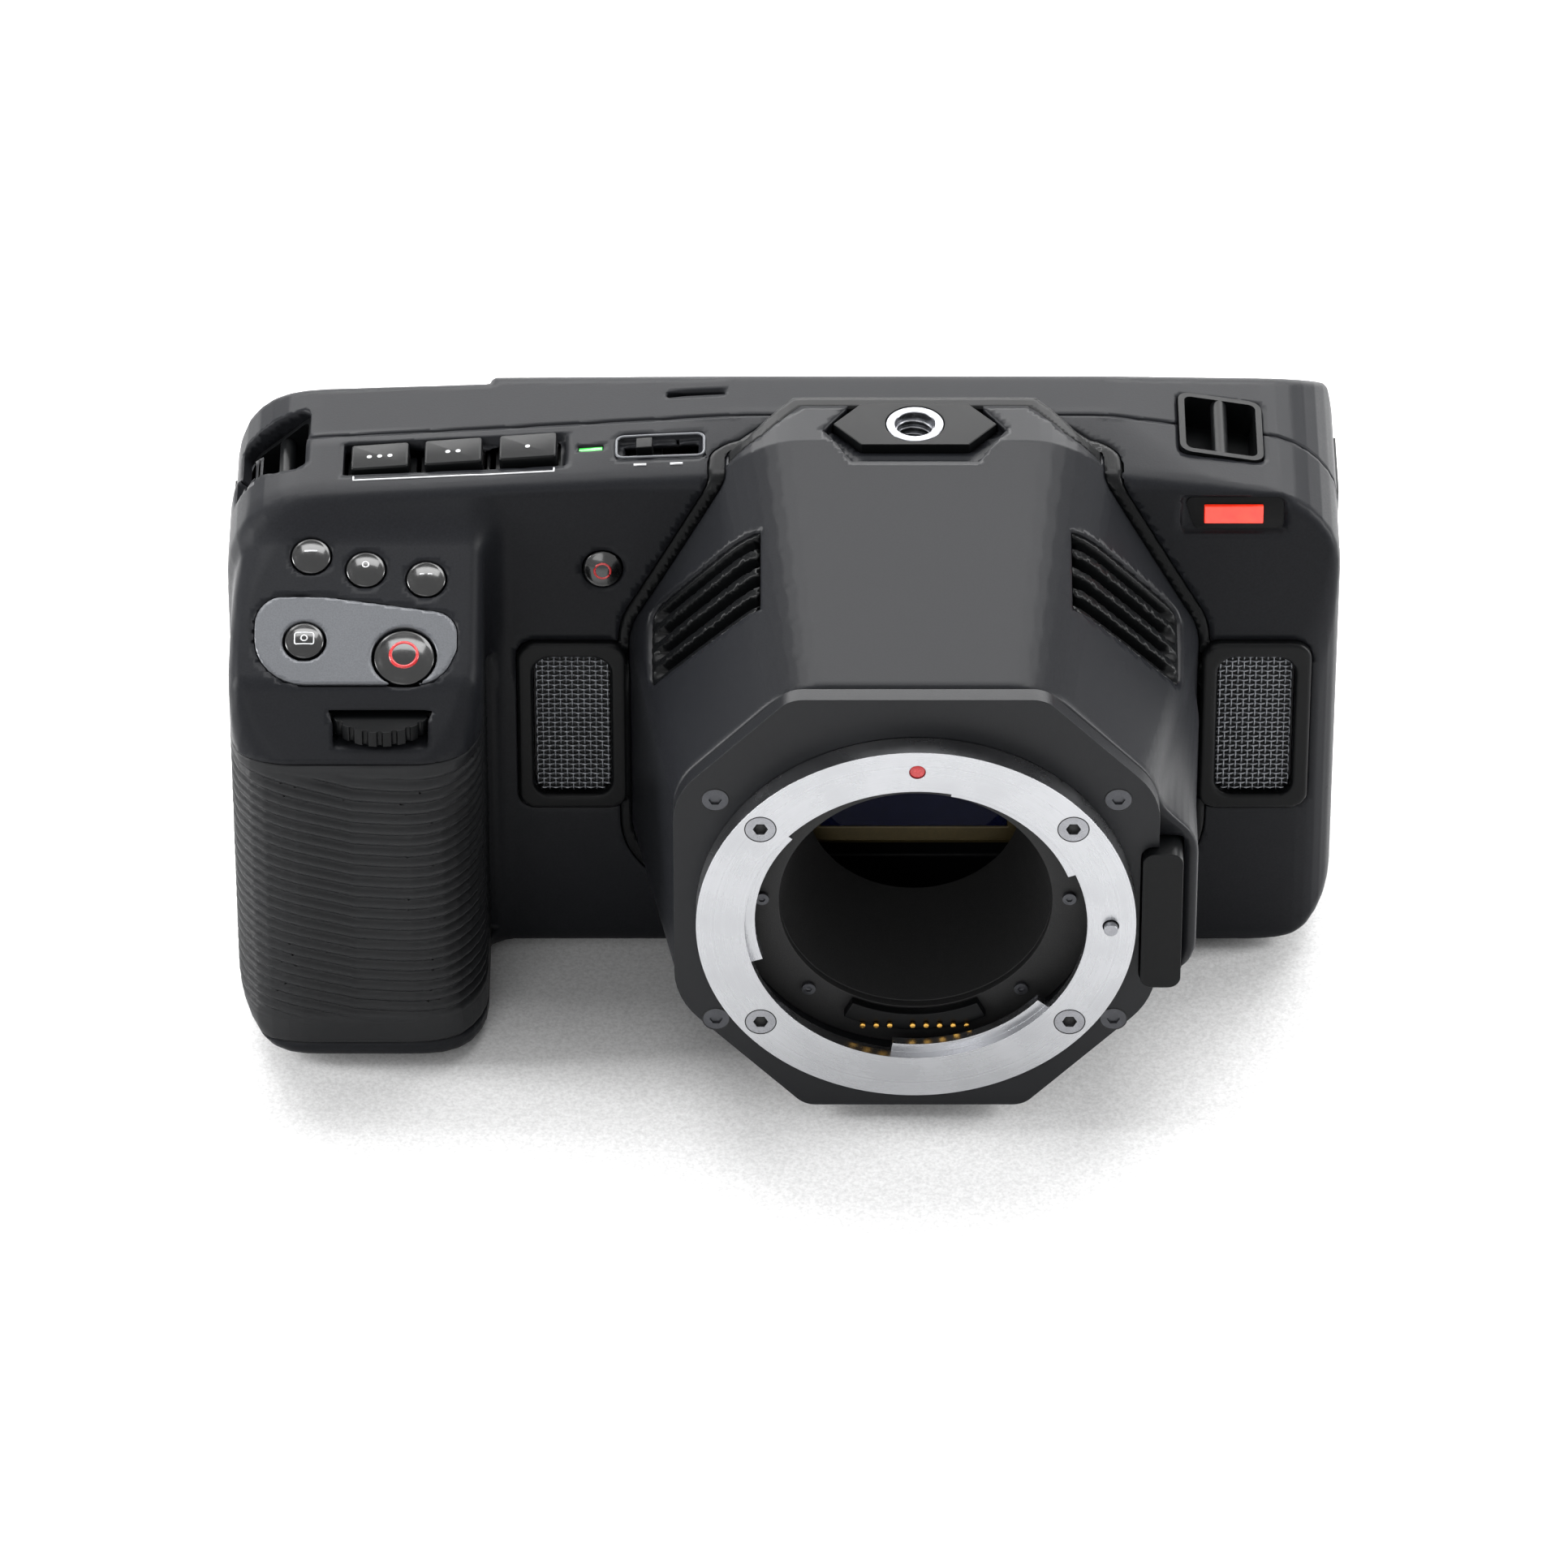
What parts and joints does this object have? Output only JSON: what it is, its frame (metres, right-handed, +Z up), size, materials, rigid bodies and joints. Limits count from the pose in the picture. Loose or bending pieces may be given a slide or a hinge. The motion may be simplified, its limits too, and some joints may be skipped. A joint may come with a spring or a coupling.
{
  "type": "digital cinema camera",
  "caption": "Digital cinema camera body with a side grip, bayonet lens mount, louvred housing, accessory thread on top, tripod thread below and a rear screen.",
  "frame": {"origin": "mouth of the tripod thread, on the base", "axes": "+Z up, -Y towards the lens, +X towards the socket side, away from the grip"},
  "size_m": [0.178, 0.1006, 0.096],
  "materials": {
    "shell": "satin moulded carbon composite",
    "housing": "satin moulded carbon composite",
    "black": "fine matte",
    "black_screw": "blackened steel",
    "steel": "fine turned",
    "gold": "plated",
    "filter": "coated, lets light through",
    "sensor": "glossy",
    "aluminium": "satin",
    "board": "lacquered",
    "screen": "polished",
    "battery": "fine matte",
    "rubber": "ribbed",
    "mesh": "woven mesh",
    "red": "clear tinted, lit",
    "green": "clear tinted, lit",
    "rest": "satin"
  },
  "bodies": {
    "camera": {"front_casing": "shell", "rear_casing": "shell", "mount_housing": "housing", "trim_frame": "black", "louvre_inserts": "black", "mount_plate": "black", "plate_screws": "black_screw", "bayonet_ring": "steel", "ring_screws": "steel", "light_trap": "black", "trap_screws": "black_screw", "throat_tube": "black", "contact_block": "black", "contact_pins": "gold", "filter_glass": "filter", "image_sensor": "sensor", "sensor_carrier": "gold", "heat_sink": "aluminium", "fan_frame": "black", "chassis": "aluminium", "main_board": "board", "screen_panel": "aluminium", "screen_glass": "screen", "battery_bay": "black", "battery": "battery", "card_holder": "aluminium", "port_block": "black", "video_sockets": "steel", "sound_sockets": "black", "power_socket": "steel", "mic_grilles": "mesh", "tally_lens": "red", "power_light": "green", "finger_rest": "rest", "grip_rubber": "rubber", "strap_lugs": "black", "thread_pad": "black", "thread_insert": "steel", "tripod_plate": "aluminium", "base_screws": "black_screw"},
    "lens_release": {"lens_release": "black", "lock_pin": "steel"},
    "fan_rotor": {"fan_rotor": "black"},
    "battery_door": {"battery_door": "shell"},
    "card_door": {"card_door": "shell"},
    "port_flap": {"port_flap": "rubber"},
    "function_button_1": {"function_button_1": "black"},
    "function_button_2": {"function_button_2": "black"},
    "function_button_3": {"function_button_3": "black"},
    "power_switch": {"power_switch": "black"},
    "iso_button": {"iso_button": "black"},
    "shutter_button": {"shutter_button": "black"},
    "balance_button": {"balance_button": "black"},
    "still_button": {"still_button": "black"},
    "record_button": {"record_button": "black"},
    "front_record_button": {"front_record_button": "black"},
    "control_dial": {"control_dial": "black"},
    "menu_button": {"menu_button": "black"},
    "play_button": {"play_button": "black"},
    "focus_button": {"focus_button": "black"}
  },
  "joints": [
    {"name": "function_button_1_press", "type": "slide", "parent": "camera", "child": "function_button_1", "axis": [0.0833, 0, -0.9965], "range_m": [0, 0.0008], "stiffness_N_per_m": 600},
    {"name": "function_button_2_press", "type": "slide", "parent": "camera", "child": "function_button_2", "axis": [0.0833, 0, -0.9965], "range_m": [0, 0.0008], "stiffness_N_per_m": 600},
    {"name": "function_button_3_press", "type": "slide", "parent": "camera", "child": "function_button_3", "axis": [0.0833, 0, -0.9965], "range_m": [0, 0.0008], "stiffness_N_per_m": 600},
    {"name": "iso_button_press", "type": "slide", "parent": "camera", "child": "iso_button", "axis": [0, 0.4285, -0.9036], "range_m": [0, 0.0008], "stiffness_N_per_m": 600},
    {"name": "shutter_button_press", "type": "slide", "parent": "camera", "child": "shutter_button", "axis": [0, 0.4285, -0.9036], "range_m": [0, 0.0008], "stiffness_N_per_m": 600},
    {"name": "balance_button_press", "type": "slide", "parent": "camera", "child": "balance_button", "axis": [0, 0.4285, -0.9036], "range_m": [0, 0.0008], "stiffness_N_per_m": 600},
    {"name": "still_button_press", "type": "slide", "parent": "camera", "child": "still_button", "axis": [0, 0.4285, -0.9036], "range_m": [0, 0.0008], "stiffness_N_per_m": 600},
    {"name": "record_button_press", "type": "slide", "parent": "camera", "child": "record_button", "axis": [0, 0.4285, -0.9036], "range_m": [0, 0.0008], "stiffness_N_per_m": 600},
    {"name": "front_record_button_press", "type": "slide", "parent": "camera", "child": "front_record_button", "axis": [0, 0.9789, -0.2043], "range_m": [0, 0.0008], "stiffness_N_per_m": 600},
    {"name": "menu_button_press", "type": "slide", "parent": "camera", "child": "menu_button", "axis": [0, -1, 0], "range_m": [0, 0.0008], "stiffness_N_per_m": 600},
    {"name": "play_button_press", "type": "slide", "parent": "camera", "child": "play_button", "axis": [0, -1, 0], "range_m": [0, 0.0008], "stiffness_N_per_m": 600},
    {"name": "focus_button_press", "type": "slide", "parent": "camera", "child": "focus_button", "axis": [0, -1, 0], "range_m": [0, 0.0008], "stiffness_N_per_m": 600},
    {"name": "power_switch_slide", "type": "slide", "parent": "camera", "child": "power_switch", "axis": [0.9965, 0, 0.0833], "range_m": [0, 0.005]},
    {"name": "lens_release_press", "type": "slide", "parent": "camera", "child": "lens_release", "axis": [0, 1, 0], "range_m": [0, 0.0025], "stiffness_N_per_m": 1200},
    {"name": "fan_spin", "type": "hinge", "parent": "camera", "child": "fan_rotor", "pos_m": [0, 0.02, 0.0425], "axis": [0, 1, 0], "continuous": true},
    {"name": "dial_turn", "type": "hinge", "parent": "camera", "child": "control_dial", "pos_m": [-0.0845, -0.0168, 0.0655], "axis": [0, 0, 1], "continuous": true},
    {"name": "battery_door_swing", "type": "hinge", "parent": "camera", "child": "battery_door", "pos_m": [-0.0895, 0.0203, 0.0014], "axis": [1, 0, 0], "range_deg": [0, 100]},
    {"name": "card_door_swing", "type": "hinge", "parent": "camera", "child": "card_door", "pos_m": [-0.1084, 0.0286, 0.046], "axis": [0, 0, 1], "range_deg": [0, 90]},
    {"name": "port_flap_swing", "type": "hinge", "parent": "camera", "child": "port_flap", "pos_m": [0.0674, 0.0286, 0.045], "axis": [0, 0, -1], "range_deg": [0, 90]}
  ]
}
